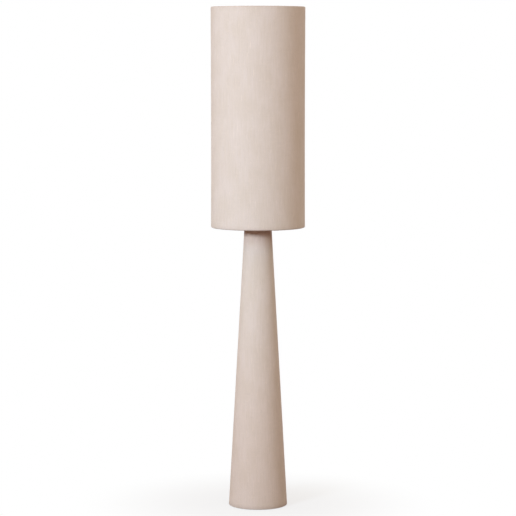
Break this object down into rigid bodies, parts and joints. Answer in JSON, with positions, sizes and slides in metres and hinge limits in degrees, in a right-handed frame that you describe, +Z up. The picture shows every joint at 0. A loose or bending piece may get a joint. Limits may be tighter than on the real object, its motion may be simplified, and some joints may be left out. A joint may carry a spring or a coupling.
{
  "type": "floor lamp",
  "caption": "Tall cylindrical cloth shade on a slender cloth-covered cone, with a swivelling shade and a screw-in bulb.",
  "frame": {"origin": "centre of the foot, on the floor", "axes": "+Z up the lamp's axis, front towards -Y, +Y to the back, where the cord gland and the cloth's seams are"},
  "size_m": [0.3, 0.3, 1.6],
  "materials": {
    "linen": "plain-woven linen-look cloth, laminated",
    "cone_board": "rolled fibre board",
    "lining": "white plastic sheet, matt",
    "sand_paint": "powder coat, matt",
    "white_paint": "white powder coat",
    "cast_weight": "raw casting",
    "zinc_steel": "zinc plated",
    "felt": "pressed wool felt",
    "black_plastic": "moulded, satin",
    "white_plastic": "moulded, semi-gloss",
    "opal": "opal diffuser, satin",
    "brass": "stamped and turned",
    "nickel": "nickel plated",
    "porcelain": "unglazed steatite",
    "light_board": "white coated board",
    "driver_board": "glass-fibre board",
    "live_brown": "insulated core",
    "neutral_blue": "insulated core",
    "earth_green": "insulated core"
  },
  "bodies": {
    "column": {"column_cover": "linen", "column_liner": "cone_board", "column_cap": "sand_paint", "base_weight": "cast_weight", "base_plate": "zinc_steel", "plate_screws": "zinc_steel", "lower_nipple": "zinc_steel", "lower_washer": "zinc_steel", "lower_nut": "zinc_steel", "centre_tube": "zinc_steel", "upper_nipple": "zinc_steel", "cap_washer": "zinc_steel", "cap_nut": "zinc_steel", "block_screws": "zinc_steel", "holder_grub_screw": "zinc_steel", "holder_terminal_screws": "zinc_steel", "felt_pad": "felt", "cord_gland": "black_plastic", "holder_cap": "black_plastic", "holder_body": "black_plastic", "terminal_block": "white_plastic", "terminal_screws": "brass", "earth_lug": "brass", "earth_screw": "brass", "screw_shell": "brass", "centre_contact": "brass", "holder_terminals": "brass", "holder_insert": "porcelain", "live_wire": "live_brown", "neutral_wire": "neutral_blue", "earth_lead": "earth_green"},
    "shade": {"shade_cover": "linen", "shade_liner": "lining", "shade_top_ring": "white_paint", "shade_bottom_ring": "white_paint", "spider_arms": "white_paint", "fitter_ring": "white_paint"},
    "clamp_ring": {"clamp_ring": "black_plastic"},
    "bulb": {"bulb_cap": "nickel", "bulb_insulator": "black_plastic", "bulb_contact": "nickel", "bulb_housing": "white_plastic", "bulb_globe": "opal", "led_board": "light_board", "led_driver": "driver_board"}
  },
  "joints": [
    {"name": "shade_turn", "type": "hinge", "parent": "column", "child": "shade", "pos_m": [0, 0, 0.96], "axis": [0, 0, 1], "continuous": true},
    {"name": "clamp_ring_turn", "type": "hinge", "parent": "column", "child": "clamp_ring", "pos_m": [0, 0, 0.966], "axis": [0, 0, 1], "range_deg": [0, 4032]},
    {"name": "bulb_turn", "type": "hinge", "parent": "column", "child": "bulb", "pos_m": [0, 0, 0.968], "axis": [0, 0, 1], "range_deg": [0, 1080]}
  ]
}
